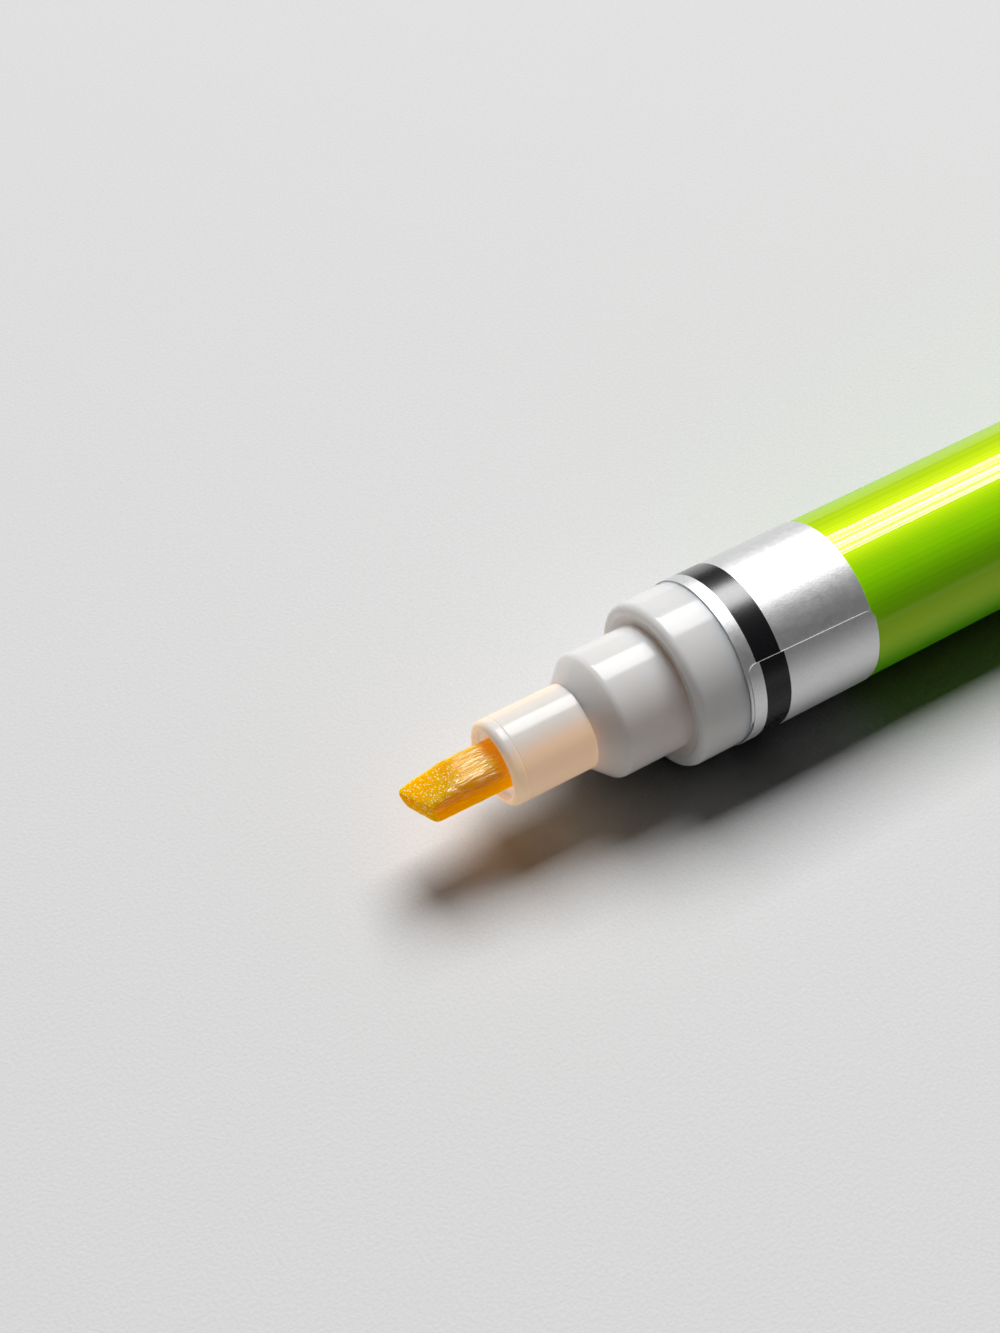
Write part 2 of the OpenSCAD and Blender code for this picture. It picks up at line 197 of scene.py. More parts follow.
class MarkerColours(bpy.types.PropertyGroup):
    """Colours of the finishes, in linear light."""
    # The three barrel greens are lit and shaded copies of one lacquer: the yellower top one is painted light
    # and the lower side one is painted shade.
    painted_light_yellow: colour("Gilt", "Barrel lacquer, along its top", (0.38, 0.66, 0.0))
    lacquer: colour("Lacquer", "Barrel lacquer, upper side", (0.33, 0.97, 0.0))
    shade: colour("Shade", "Barrel lacquer, lower side", (0.07, 0.48, 0.0))
    foil: colour("Foil", "Silver foil", (0.92, 0.92, 0.93))
    edge: colour("Edge", "Raw edge of the foil", (0.85, 0.85, 0.83))
    ring: colour("Ring", "Ring printed on the foil", (0.010, 0.009, 0.011))
    white: colour("White", "Neck moulding", (0.80, 0.79, 0.78))
    ivory: colour("Ivory", "Upper side of the collar moulding", (0.80, 0.78, 0.75))
    # Partly the liquid's amber seen through the wall, partly painted glow: this colour tints the collar's
    # lower side and is also given off there as light.
    liquid_tint_and_painted_glow: colour("Peach", "Lower side of the collar, where the liquid shows through", (0.98, 0.70, 0.47))
    amber: colour("Amber", "Wet nib fibre", (0.99, 0.47, 0.0))
    # This pale colour marks cut fibre ends and also paints glints: pale streaks on the nib's upper side and
    # pale dots on its bevel stand in for highlights.
    pale_ends_and_glints: colour("Straw", "Pale fibre ends", (0.99, 0.82, 0.38))
    # Painted glow: this colour is given off as light by the nib's lower side and near the collar.
    ember: colour("Ember", "Light that comes through the nib", (1.0, 0.33, 0.0))
    rubber: colour("Rubber", "Valve seal", (0.02, 0.02, 0.021))
    acetal: colour("Acetal", "Valve stem", (0.74, 0.71, 0.62))
    clear: colour("Natural plastic", "Valve case", (0.62, 0.66, 0.70))
    steel: colour("Steel", "Spring wire", (0.56, 0.56, 0.55))
    aluminium: colour("Aluminium", "Bare metal inside the barrel", (0.70, 0.70, 0.71))
    floor: colour("Floor", "Table top", (0.74, 0.74, 0.74))


class MarkerStudio(bpy.types.PropertyGroup):
    """Camera, light and table of the studio."""
    lens: number("Lens", "Focal length", 56.635, "CAMERA")
    elevation: angle("Elevation", "Camera's height above the horizon", 49.35)
    turn: angle("Turn", "Camera's turn from the side of the marker", 32.14)
    aim: FloatVectorProperty(
        name="Aim", description="Rear edge of the band from the camera: right, up and ahead",
        default=(28.993 * MM, 5.704 * MM, 190.136 * MM), size=3, subtype="XYZ")
    key_far: length("Key distance", "Distance of the softbox", 3000)
    key_lean: angle("Key lean", "Lean of the softbox behind the marker", 28.8)
    key_spread: angle("Key spread", "Height of the softbox as seen from the marker", 34.4)
    key_left: number("Key left", "Near end of the softbox, by its distance", 0.0)
    key_right: number("Key right", "Far end of the softbox, by its distance", 0.81)
    key_power: number("Key", "Power of the softbox", 140, "POWER")
    room: number("Room", "Strength of the room's own light", 0.015)
    table: length("Table", "Half the width of the table top", 2000)
    # Painted shadow: within this distance of the marker the table top's colour is darkened by occlusion.
    painted_contact_shadow: length("Nook", "How near the marker the table top darkens", 6)


# Meshes


def arc(centre, radius, start, end, steps=8):
    """Points (place, radius) of an arc in a turned outline, with angles in degrees from outwards."""
    turns = [math.radians(start + (end - start) * i / steps) for i in range(steps + 1)]
    return [(centre[0] + radius * math.sin(t), centre[1] + radius * math.cos(t)) for t in turns]


def vee(middle, width, base, peak):
    """Points (place, radius) of a fine rib or groove in a turned outline."""
    return [(middle - width / 2, base), (middle, peak), (middle + width / 2, base)]


def rounded(corners, steps=6):
    """An outline of (place, radius, rounding) corners with its corners rounded."""
    points = []
    for i, corner in enumerate(corners):
        here = Vector(corner[:2])
        rounding = corner[2] if len(corner) > 2 else 0
        if not rounding:
            points.append(here)
            continue
        back = (Vector(corners[i - 1][:2]) - here).normalized()
        ahead = (Vector(corners[(i + 1) % len(corners)][:2]) - here).normalized()
        half = back.angle(ahead) / 2
        centre = here + (back + ahead).normalized() * rounding / math.sin(half)
        first = here + back * rounding / math.tan(half) - centre
        last = here + ahead * rounding / math.tan(half) - centre
        points += [centre + first.normalized().slerp(last.normalized(), k / steps) * rounding
                   for k in range(steps + 1)]
    return [tuple(p) for p in points]


def turned(outline, segments, closed=True):
    """A bmesh turned about the marker's axis from an outline of (place, radius) points."""
    bm = bmesh.new()
    rim = [bm.verts.new((x, 0, AXIS_Z + r)) for x, r in outline]
    ends = rim[1:] + rim[:1] if closed else rim[1:]
    line = [bm.edges.new(pair) for pair in zip(rim, ends)]
    bmesh.ops.spin(bm, geom=rim + line, cent=(0, 0, AXIS_Z), axis=(1, 0, 0), angle=math.tau,
                   steps=segments, use_merge=True, use_duplicate=False)
    bmesh.ops.remove_doubles(bm, verts=bm.verts, dist=MERGE_DIST)
    bmesh.ops.recalc_face_normals(bm, faces=bm.faces)
    return bm


def off_axis(face):
    """The middle of a face, with its height measured from the marker's axis."""
    return face.calc_center_median() - Vector((0, 0, AXIS_Z))


def every(bm):
    """All points, edges and faces of a bmesh."""
    return bm.verts[:] + bm.edges[:] + bm.faces[:]


def bisect(bm, place, normal, **settings):
    """Cuts a bmesh along a plane."""
    return bmesh.ops.bisect_plane(bm, geom=every(bm), dist=CUT_DIST, plane_co=place, plane_no=normal,
                                  **settings)


def linked(name, bm, materials):
    """An object in the scene, made of a bmesh and its finishes."""
    mesh = bpy.data.meshes.new(name)
    bm.to_mesh(mesh)
    bm.free()
    for finish in materials:
        mesh.materials.append(finish)
    made = bpy.data.objects.new(name, mesh)
    bpy.context.scene.collection.objects.link(made)
    return made


def piece(name, bm, body, slot, materials, *nodes, crease=35):
    """Makes a finished piece of a bmesh, which rides on a body and stands for CAD nodes."""
    made = linked(name, bm, materials)
    made.data.shade_smooth()
    made.data.set_sharp_from_angle(angle=math.radians(crease))
    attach(made, body)
    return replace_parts(made, *nodes) if nodes else made


def dress(node, material):
    """Gives a carried-over CAD node its finish."""
    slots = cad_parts[node].data.materials
    slots.clear()
    slots.append(material)


# Shader nodes


def opaque(tint):
    """A colour property as red, green, blue and alpha."""
    return (*tint, 1.0)


def shade(tint, factor):
    """A lighter or darker version of a colour."""
    return (*[min(1.0, c * factor) for c in tint], 1.0)


def add(tree, kind, sockets=None, **settings):
    """Adds a node, with its settings and with each socket's value or link."""
    made = tree.nodes.new(kind)
    for key, value in settings.items():
        setattr(made, key, value)
    for key, value in (sockets or {}).items():
        if isinstance(value, bpy.types.NodeSocket):
            tree.links.new(value, made.inputs[key])
        else:
            made.inputs[key].default_value = value
    return made


def feed(tree, node, **results):
    """Links results to a node's sockets of those names."""
    for key, value in results.items():
        tree.links.new(value, node.inputs[key.replace("_", " ")])


def maths(tree, operation, a, b):
    """The result of one calculation."""
    return add(tree, "ShaderNodeMath", {0: a, 1: b}, operation=operation).outputs[0]


def rest_of(tree, mask):
    """What a mask leaves over."""
    return maths(tree, "SUBTRACT", 1.0, mask)


def lowered(tree, value, mask, amount):
    """A value that is less by an amount where a mask is full."""
    return maths(tree, "SUBTRACT", value, maths(tree, "MULTIPLY", mask, amount))


def mapped(tree, value, start, end, low=0.0, high=1.0, curve="LINEAR"):
    """A value brought from one range to another and held within it."""
    sockets = {"Value": value, "From Min": start, "From Max": end, "To Min": low, "To Max": high}
    return add(tree, "ShaderNodeMapRange", sockets, interpolation_type=curve).outputs[0]


def blended(tree, mask, a, b):
    """A mix of two colours by a mask."""
    return add(tree, "ShaderNodeMix", {0: mask, 6: a, 7: b}, data_type="RGBA").outputs[2]


def places(tree):
    """Places on the object, in metres."""
    return add(tree, "ShaderNodeTexCoord").outputs["Object"]


def sides(tree, where):
    """The three measures of a place."""
    return add(tree, "ShaderNodeSeparateXYZ", {0: where}).outputs


def clouds(tree, where, scale, detail, waviness=0.0):
    """Noise at given places, with its waves per metre."""
    sockets = {"Vector": where, "Scale": scale, "Detail": detail, "Distortion": waviness}
    return add(tree, "ShaderNodeTexNoise", sockets).outputs["Fac"]


def streaks(tree, across, along, detail, waviness=0.0):
    """Lines along the axis, with their waves per metre across and along."""
    stretch = {0: places(tree), 1: (along, across, across)}
    where = add(tree, "ShaderNodeVectorMath", stretch, operation="MULTIPLY").outputs[0]
    return clouds(tree, where, 1.0, detail, waviness)


def raised(tree, height, strength, depth):
    """The normal of a surface that carries a height; depth is in metres."""
    sockets = {"Height": height, "Strength": strength, "Distance": depth}
    return add(tree, "ShaderNodeBump", sockets).outputs["Normal"]


def new_group(name, inputs, outputs):
    """An empty shader node group of plain numbers, with its inputs' values and its outputs' names."""
    tree = bpy.data.node_groups.new(name, "ShaderNodeTree")
    for title, value in inputs.items():
        socket = tree.interface.new_socket(name=title, in_out="INPUT", socket_type="NodeSocketFloat")
        socket.default_value = value
    for title in outputs:
        tree.interface.new_socket(name=title, in_out="OUTPUT", socket_type="NodeSocketFloat")
    return tree, tree.nodes.new("NodeGroupInput").outputs, tree.nodes.new("NodeGroupOutput")


def mottle_group():
    """Fine grain and slow mottling of a moulded or coated surface."""
    if "mottle" in bpy.data.node_groups:
        return bpy.data.node_groups["mottle"]
    inputs = {"Grain": 12000.0, "Cloud": 300.0, "Rough": 0.3, "Spread": 0.1}
    tree, given, result = new_group("mottle", inputs, ("Height", "Roughness", "Cloud"))
    where = places(tree)
    grain = clouds(tree, where, given["Grain"], 2.0)
    cloud = clouds(tree, where, given["Cloud"], 3.0)
    swing = maths(tree, "MULTIPLY", maths(tree, "SUBTRACT", cloud, 0.5), given["Spread"])
    feed(tree, result, Height=grain, Roughness=maths(tree, "ADD", given["Rough"], swing), Cloud=cloud)
    return tree


def mottled(tree, grain, cloud, rough, spread):
    """Height, Roughness and Cloud of a mottled surface; grain and cloud are waves per metre."""
    sockets = {"Grain": grain, "Cloud": cloud, "Rough": rough, "Spread": spread}
    return add(tree, "ShaderNodeGroup", sockets, node_tree=mottle_group()).outputs


def lower_side_group():
    """Rises from nothing at one height to all of it at a lower one; heights may lean to the far side."""
    if "lower_side" in bpy.data.node_groups:
        return bpy.data.node_groups["lower_side"]
    tree, given, result = new_group("lower_side", {"Top": 0.01, "Low": 0.0, "Lean": 0.0}, ("Depth",))
    at = sides(tree, places(tree))
    height = maths(tree, "ADD", at["Z"], maths(tree, "MULTIPLY", at["Y"], given["Lean"]))
    feed(tree, result, Depth=mapped(tree, height, given["Top"], given["Low"], curve="SMOOTHSTEP"))
    return tree


def lower_side(tree, top, low, lean=0.0):
    """A mask of the lower side, which starts and is full at heights above the axis."""
    sockets = {"Top": AXIS_Z + top, "Low": AXIS_Z + low, "Lean": lean}
    return add(tree, "ShaderNodeGroup", sockets, node_tree=lower_side_group()).outputs["Depth"]


def tones(tree, finish, tint, swing):
    """A colour that grows a little darker and lighter with the mottling."""
    return blended(tree, finish["Cloud"], shade(tint, 1 - swing), shade(tint, 1 + swing))


def glow(tree, shader, tint, mask):
    """A painted glow: emission by a mask, standing in for light that comes through from the lit side."""
    feed(tree, shader, Emission_Color=blended(tree, mask, (0, 0, 0, 1), opaque(tint)))


# Finishes


def material(name, **sockets):
    """A material with plain values on its Principled shader's own sockets."""
    made = bpy.data.materials.new(name)
    made.use_nodes = True
    shader = made.node_tree.nodes["Principled BSDF"]
    for key, value in sockets.items():
        shader.inputs[key.replace("_", " ")].default_value = value
    return made, made.node_tree, shader


def lacquer_material(colours):
    """Lacquer over drawn aluminium, with glossy draw lines along the axis; its yellower top is painted light
    and its darker lower side painted shade.
    """
    made, tree, shader = material(
        "green_lacquer", IOR=2.9, Specular_Tint=(0.84, 0.90, 0.0, 1.0), Coat_Roughness=0.03, Coat_IOR=2.0)
    lines = streaks(tree, across=5000.0, along=6.0, detail=1.0)
    gloss = mapped(tree, lines, 0.42, 0.58, low=0.08, high=0.72)
    # Mask of the lower side, where the darker green is painted shade.
    depth = lower_side(tree, top=0.9 * BARREL_R, low=0.3 * BARREL_R)
    dull = mapped(tree, depth, 0.0, 1.0, low=1.0, high=0.12)
    # Mask of the top, where the yellower green is painted light.
    painted_light_mask = lower_side(tree, top=1.06 * BARREL_R, low=0.68 * BARREL_R, lean=0.36)
    finish = mottled(tree, grain=9000.0, cloud=180.0, rough=0.52, spread=0.06)
    # Painted light on top, the lacquer's own green in the middle, painted shade below.
    upper = blended(tree, painted_light_mask, opaque(colours.painted_light_yellow), tones(tree, finish, colours.lacquer, 0.05))
    skin = blended(tree, depth, upper, tones(tree, finish, colours.shade, 0.05))
    rough = lowered(tree, finish["Roughness"], depth, 0.12)
    feed(tree, shader, Base_Color=skin, Roughness=rough, Coat_Weight=maths(tree, "MULTIPLY", gloss, dull),
         Coat_Normal=raised(tree, lines, 1.0, 0.008 * MM))
    return made


def metal_material(name, tint):
    """Bare metal, such as the cut rim of the barrel or drawn wire."""
    made, tree, shader = material(name, Metallic=1.0)
    finish = mottled(tree, grain=9000.0, cloud=900.0, rough=0.3, spread=0.15)
    feed(tree, shader, Base_Color=tones(tree, finish, tint, 0.15), Roughness=finish["Roughness"],
         Normal=raised(tree, finish["Height"], 0.2, 0.01 * MM))
    return made


def foil_material(colours, ring_start, ring_end):
    """Satin silver foil with a printed black ring, placed in millimetres on the flat label."""
    made, tree, shader = material("silver_foil", IOR=1.5, Coat_Roughness=0.27, Coat_IOR=1.6)
    along = sides(tree, add(tree, "ShaderNodeUVMap", uv_map="flat").outputs["UV"])["X"]
    inside = maths(tree, "MULTIPLY", maths(tree, "GREATER_THAN", along, ring_start),
                   maths(tree, "LESS_THAN", along, ring_end))
    finish = mottled(tree, grain=5200.0, cloud=1500.0, rough=0.50, spread=0.12)
    silver = blended(tree, finish["Height"], shade(colours.foil, 0.8), tones(tree, finish, colours.foil, 0.1))
    film = maths(tree, "MULTIPLY", inside, rest_of(tree, lower_side(tree, 0.8 * LABEL_R, 0.3 * LABEL_R)))
    feed(tree, shader, Base_Color=blended(tree, inside, silver, opaque(colours.ring)),
         Metallic=maths(tree, "MULTIPLY", rest_of(tree, inside), 0.85),
         Roughness=lowered(tree, finish["Roughness"], inside, 0.22),
         Specular_IOR_Level=lowered(tree, 0.5, inside, 0.3), Coat_Weight=film,
         Normal=raised(tree, finish["Height"], 0.5, 0.02 * MM))
    return made


def edge_material(colours):
    """Pale raw edge of the foil."""
    made, tree, shader = material("foil_edge", Specular_IOR_Level=0.5)
    finish = mottled(tree, grain=12000.0, cloud=1500.0, rough=0.45, spread=0.2)
    feed(tree, shader, Base_Color=tones(tree, finish, colours.edge, 0.083), Roughness=finish["Roughness"])
    return made


def moulded(tree, shader, tint, rough):
    """Gives a moulding its fine skin, and returns its slightly uneven colour."""
    finish = mottled(tree, grain=5000.0, cloud=220.0, rough=rough, spread=0.08)
    feed(tree, shader, Roughness=finish["Roughness"], Normal=raised(tree, finish["Height"], 0.08, 0.01 * MM))
    return tones(tree, finish, tint, 0.035)


def plastic_material(name, tint, rough, depth, **sockets):
    """A milky moulded plastic with light that scatters under its skin."""
    made, tree, shader = material(name, IOR=1.5, Subsurface_Radius=depth, Subsurface_Scale=1.0, **sockets)
    feed(tree, shader, Base_Color=moulded(tree, shader, tint, rough))
    return made


def collar_material(colours):
    """A thin milky moulding; its lower side carries the liquid's amber tint and a painted glow, emission that
    stands in for the wet nib's light coming through.
    """
    made, tree, shader = material(
        "ivory_moulding_painted_glow", IOR=1.5, Specular_IOR_Level=0.3, Subsurface_Weight=0.8, Subsurface_Scale=1.0,
        Subsurface_Radius=(1.2 * MM, 1.1 * MM, 1.0 * MM), Emission_Strength=0.26)
    depth = lower_side(tree, top=1.02 * COLLAR_R, low=0.62 * COLLAR_R)
    skin = moulded(tree, shader, colours.ivory, 0.14)
    # Lower side: the liquid's tint in the base colour, and a painted glow given off by emission.
    feed(tree, shader, Base_Color=blended(tree, depth, skin, opaque(colours.liquid_tint_and_painted_glow)))
    glow(tree, shader, colours.liquid_tint_and_painted_glow, depth)
    return made


def wet_material(name, colours, through):
    """A fibre bundle that light passes through, with a painted glow on its lower side and near the collar,
    and the mask of the wet film on its upper side.
    """
    made, tree, shader = material(
        name, IOR=1.45, Specular_IOR_Level=0.0, Coat_Roughness=0.10, Coat_IOR=1.6, Subsurface_Weight=1.0,
        Subsurface_Scale=1.0, Subsurface_Radius=(4.0 * MM, 1.6 * MM, 0.05 * MM), Emission_Strength=through)
    along = sides(tree, places(tree))["X"]
    root = mapped(tree, along, RIM_X - 1.3 * MM, RIM_X + 0.2 * MM, high=0.7, curve="SMOOTHSTEP")
    depth = maths(tree, "MAXIMUM", lower_side(tree, top=1.7 * MM, low=0.3 * MM), root)
    # Painted glow: emission on the lower side and near the collar stands in for light coming through the
    # fibres.
    glow(tree, shader, colours.ember, depth)
    film = rest_of(tree, depth)
    feed(tree, shader, Coat_Weight=film)
    return made, tree, shader, film


def fibre_material(colours):
    """Wet amber fibres that run along the nib, with painted glints: pale streaks on its upper side."""
    made, tree, shader, film = wet_material("wet_fibre", colours, 0.28)
    fine = streaks(tree, across=5000.0, along=800.0, detail=1.5, waviness=0.6)
    broad = streaks(tree, across=2400.0, along=380.0, detail=1.0, waviness=0.6)
    both = maths(tree, "MULTIPLY", maths(tree, "ADD", fine, broad), 0.5)
    tone = blended(tree, mapped(tree, both, 0.36, 0.64), shade(colours.amber, 0.78), opaque(colours.amber))
    # Painted glints: pale streaks in the colour, only on the upper side where the wet film catches the light.
    pale = maths(tree, "MULTIPLY", mapped(tree, fine, 0.56, 0.68, high=0.5), film)
    normal = raised(tree, both, 1.0, 0.28 * MM)
    feed(tree, shader, Base_Color=blended(tree, pale, tone, opaque(colours.pale_ends_and_glints)),
         Roughness=mapped(tree, broad, 0.35, 0.65, low=0.4, high=0.2), Normal=normal, Coat_Normal=normal)
    return made


def cut_material(colours):
    """Cut ends of the fibres, seen as pale dots in amber; the dots are partly painted highlight, standing in
    for glints.
    """
    made, tree, shader, _ = wet_material("cut_fibre", colours, 0.16)
    where = places(tree)
    cells = add(tree, "ShaderNodeTexVoronoi", {"Vector": where, "Scale": 4300.0}, feature="F1").outputs
    dots = mapped(tree, cells["Distance"], 0.20, 0.46, low=1.0, high=0.0)
    lot = add(tree, "ShaderNodeSeparateColor", {0: cells["Color"]}).outputs[0]
    pale = maths(tree, "MULTIPLY", dots, maths(tree, "GREATER_THAN", lot, 0.38))
    cloud = clouds(tree, where, 1500.0, 3.0)
    field = blended(tree, cloud, shade(colours.amber, 0.72), shade(colours.amber, 1.05))
    normal = raised(tree, dots, 1.0, 0.06 * MM)
    # Pale dots: the cut fibre ends, and painted glints.
    feed(tree, shader, Base_Color=blended(tree, pale, field, opaque(colours.pale_ends_and_glints)),
         Roughness=mapped(tree, dots, 0.0, 1.0, low=0.40, high=0.10), Normal=normal, Coat_Normal=normal)
    return made


# Operators


class MARKER_OT_barrel(bpy.types.Operator):
    """Turns the closed barrel"""
    bl_idname = "marker.barrel"
    bl_label = "Barrel"

    def execute(self, context):
        s, c = context.scene.marker_sizes, context.scene.marker_colours
        bore = BARREL_R - s.wall
        bare_x = MOUTH_X + s.bare_w
        dish_x = TAIL_X - s.dish_depth
        floor_x = dish_x - s.base
        slack = s.wall / 5
        outline = rounded([
            (floor_x, 0), (floor_x, bore, s.floor_r),
            (MOUTH_X, bore, s.bore_ease), (MOUTH_X, BARREL_R, s.edge_ease), (bare_x, BARREL_R),
            (TAIL_X, BARREL_R, s.tail_r), (TAIL_X, s.dish_r, s.dish_ease),
            (dish_x, s.dish_r - s.dish_depth, s.dish_ease), (dish_x, 0)], steps=10)
        bm = turned(outline, s.segments, closed=False)
        for face in bm.faces:
            middle = off_axis(face)
            in_bore = middle.x < dish_x - slack and middle.yz.length < bore + slack
            if middle.x < bare_x or in_bore:
                face.material_index = 1
        finishes = [lacquer_material(c), metal_material("bare_aluminium", c.aluminium)]
        piece("barrel_tube", bm, "housing", "barrel_lacquer", finishes, "barrel")
        return {"FINISHED"}


class MARKER_OT_label(bpy.types.Operator):
    """Wraps the foil label round the barrel, with its end overlapping a little askew"""
    bl_idname = "marker.label"
    bl_label = "Foil label"

    def bend(self, v, s, inner, turn):
        """Lays a point of the flat label on the barrel; the seam's end lies on top."""
        place, way = v.co.x, v.co.y
        ramp = min(1.0, max(0.0, (way - s.flap_w) / s.flap_ramp))
        over = s.label_t * (1 - ramp * ramp * (3 - 2 * ramp))
        reach = inner + over + s.flap_lift * math.exp(-way / s.flap_fade)
        skew = (place - s.label_len / 2) * math.tan(s.seam_skew) * max(0.0, 1 - way / s.flap_w)
        around = s.seam_angle - (way + skew) / inner
        v.co.x = MOUTH_X + place + s.flap_shift * (1 - way / turn)
        v.co.y = -reach * math.cos(around)
        v.co.z = AXIS_Z + reach * math.sin(around)

    def execute(self, context):
        s, c = context.scene.marker_sizes, context.scene.marker_colours
        inner = LABEL_R - s.label_t
        turn = math.tau * inner
        wrap = turn + s.flap_w
        bm = bmesh.new()
        bmesh.ops.create_grid(bm, x_segments=1, y_segments=1, size=0.5)
        bmesh.ops.scale(bm, vec=(s.label_len, wrap, 1), verts=bm.verts)
        bmesh.ops.translate(bm, vec=(s.label_len / 2, wrap / 2, 0), verts=bm.verts)
        seam = [v for v in bm.verts if v.co.y < wrap / 2]
        bmesh.ops.bevel(bm, geom=seam, offset=s.flap_corner, affect="VERTICES", segments=12, profile=0.5,
                        material=-1)
        for k in range(1, s.segments):
            bisect(bm, (0, wrap * k / s.segments, 0), (0, 1, 0))
        flat = bm.loops.layers.uv.new("flat")
        for face in bm.faces:
            for loop in face.loops:
                loop[flat].uv = loop.vert.co.xy / MM
        for v in bm.verts:
            self.bend(v, s, inner, turn)
        sheet = set(bm.faces)
        raised_sheet = bmesh.ops.extrude_face_region(bm, geom=bm.faces[:], use_keep_orig=True)["geom"]
        for v in (g for g in raised_sheet if isinstance(g, bmesh.types.BMVert)):
            v.co += Vector((0, v.co.y, v.co.z - AXIS_Z)).normalized() * s.label_t
        for face in set(bm.faces) - sheet - set(raised_sheet):
            face.material_index = 1
        bmesh.ops.recalc_face_normals(bm, faces=bm.faces)
        foil = foil_material(c, s.ring_from / MM, (s.ring_from + s.ring_w) / MM)
        piece("foil_label", bm, "housing", "label_foil", [foil, edge_material(c)], "band_label")
        return {"FINISHED"}


class MARKER_OT_front_section(bpy.types.Operator):
    """Turns the white moulding with its cone, neck, lipped flange and ribbed spigot"""
    bl_idname = "marker.front_section"
    bl_label = "Front section"

    def execute(self, context):
        s, c = context.scene.marker_sizes, context.scene.marker_colours
        root = MOUTH_X - s.flange_len
        neck = root - s.neck_len
        seat = root - s.lip_gap
        bore = s.shank_r + s.shank_fit
        end = FRONT_HIGH.x
        lines = []
        for k in range(s.root_lines):
            middle = seat + (k + 0.5 - s.root_lines) * s.line_pitch
            lines += vee(middle, s.line_w, s.neck_r, s.neck_r - s.line_depth)
        lip_centre = (root - s.lip_rise + s.lip_r, FLANGE_R - s.lip_r)
        lip = arc(lip_centre, s.lip_r, -math.degrees(s.lip_turn), 0, 24)
        nose = rounded([
            (CONE_X, bore), (CONE_X, COLLAR_R, s.cone_ease), (neck, s.neck_r, s.shoulder_r), *lines,
            (seat, s.neck_r, s.crease_r), lip[0]], steps=10)[:-1]
        back = [(MOUTH_X - s.flange_ease, FLANGE_R), (MOUTH_X, FLANGE_R - s.flange_ease),
                (MOUTH_X, s.spigot_r)]
        ribs = []
        for k in range(1, s.spigot_ribs + 1):
            middle = MOUTH_X + (end - MOUTH_X) * k / (s.spigot_ribs + 1)
            ribs += vee(middle, s.spigot_rib_w, s.spigot_r, s.spigot_rib_r)
        inside = [(end - s.spigot_lead, s.spigot_r), (end, s.spigot_r - s.spigot_lead), (end, s.cup_r),
                  (MOUTH_X, s.cup_r), (MOUTH_X, bore)]
        bm = turned(nose + lip + back + ribs + inside, s.segments)
        skin = plastic_material("white_moulding", c.white, 0.13, (2.8 * MM, 2.3 * MM, 1.9 * MM),
                                Subsurface_Weight=0.85, Specular_IOR_Level=0.3)
        piece("neck_moulding", bm, "housing", "white_plastic", [skin], "front_section", crease=25)
        return {"FINISHED"}


class MARKER_OT_collar(bpy.types.Operator):
    """Turns the ivory collar that holds the nib"""
    bl_idname = "marker.collar"
    bl_label = "Nib collar"

    def execute(self, context):
        s, c = context.scene.marker_sizes, context.scene.marker_colours
        floor = RIM_X + s.mouth_depth
        groove = RIM_X + s.groove_at
        end = COLLAR_HIGH.x
        outline = rounded([
            (floor, s.guide_r, s.guide_ease), (floor, s.mouth_r, s.mouth_corner_r),
            (RIM_X, s.mouth_r, s.mouth_ease), (RIM_X, COLLAR_R, s.rim_r),
            (groove - s.groove_w / 2, COLLAR_R, s.groove_ease), (groove, COLLAR_R - s.groove_depth),
            (groove + s.groove_w / 2, COLLAR_R, s.groove_ease), (CONE_X, COLLAR_R),
            (CONE_X, s.shank_r), (end, s.shank_r), (end, s.guide_r)], steps=8)
        bm = turned(outline, s.segments)
        for face in bm.faces:
            if off_axis(face).yz.length < s.mouth_r:
                face.material_index = 1
        # The bore carries a painted glow: emission in its own ivory colour brightens its shaded inside.
        bore = plastic_material("ivory_bore_painted_glow", c.ivory, 0.14, (0.6 * MM,) * 3, Subsurface_Weight=0.5,
                                Specular_IOR_Level=0.3, Emission_Color=opaque(c.ivory),
                                Emission_Strength=0.22)
        piece("nib_collar_turned", bm, "housing", "collar_plastic", [collar_material(c), bore], "nib_collar")
        return {"FINISHED"}


